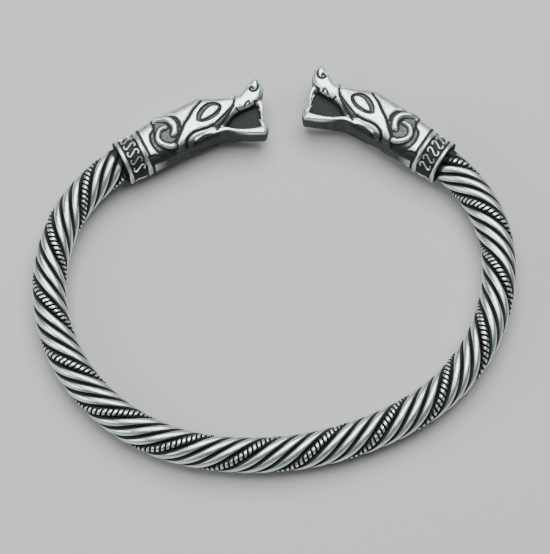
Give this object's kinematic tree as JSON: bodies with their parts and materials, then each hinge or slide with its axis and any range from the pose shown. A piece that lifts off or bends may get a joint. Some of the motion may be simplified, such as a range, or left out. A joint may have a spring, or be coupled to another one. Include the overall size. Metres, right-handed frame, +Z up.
{
  "type": "viking arm ring",
  "caption": "Open oval arm ring of twisted plain and milled silver wire, ending in facing cast beast heads with open jaws and scroll-banded collars.",
  "frame": {"origin": "middle of the ring's box on the surface that it lies on", "axes": "+X across the ring's widest way, +Y from the far side of the rod towards the heads, +Z up"},
  "size_m": [0.0718, 0.0644, 0.007],
  "materials": {
    "core": "dark oxidised silver",
    "cast_silver": "cast silver, polished on the high places and blackened in the cuts",
    "plain_wire": "drawn silver wire, polished, blackened between the wires",
    "milled_wire": "milled silver wire with dark cuts"
  },
  "bodies": {
    "root": {"core_rod": "core", "head_left": "cast_silver", "head_right": "cast_silver", "plain_wire_1": "plain_wire", "plain_wire_2": "plain_wire", "plain_wire_3": "plain_wire", "plain_wire_4": "plain_wire", "plain_wire_5": "plain_wire", "plain_wire_6": "plain_wire", "milled_wire_1": "milled_wire", "milled_wire_2": "milled_wire"}
  },
  "joints": []
}
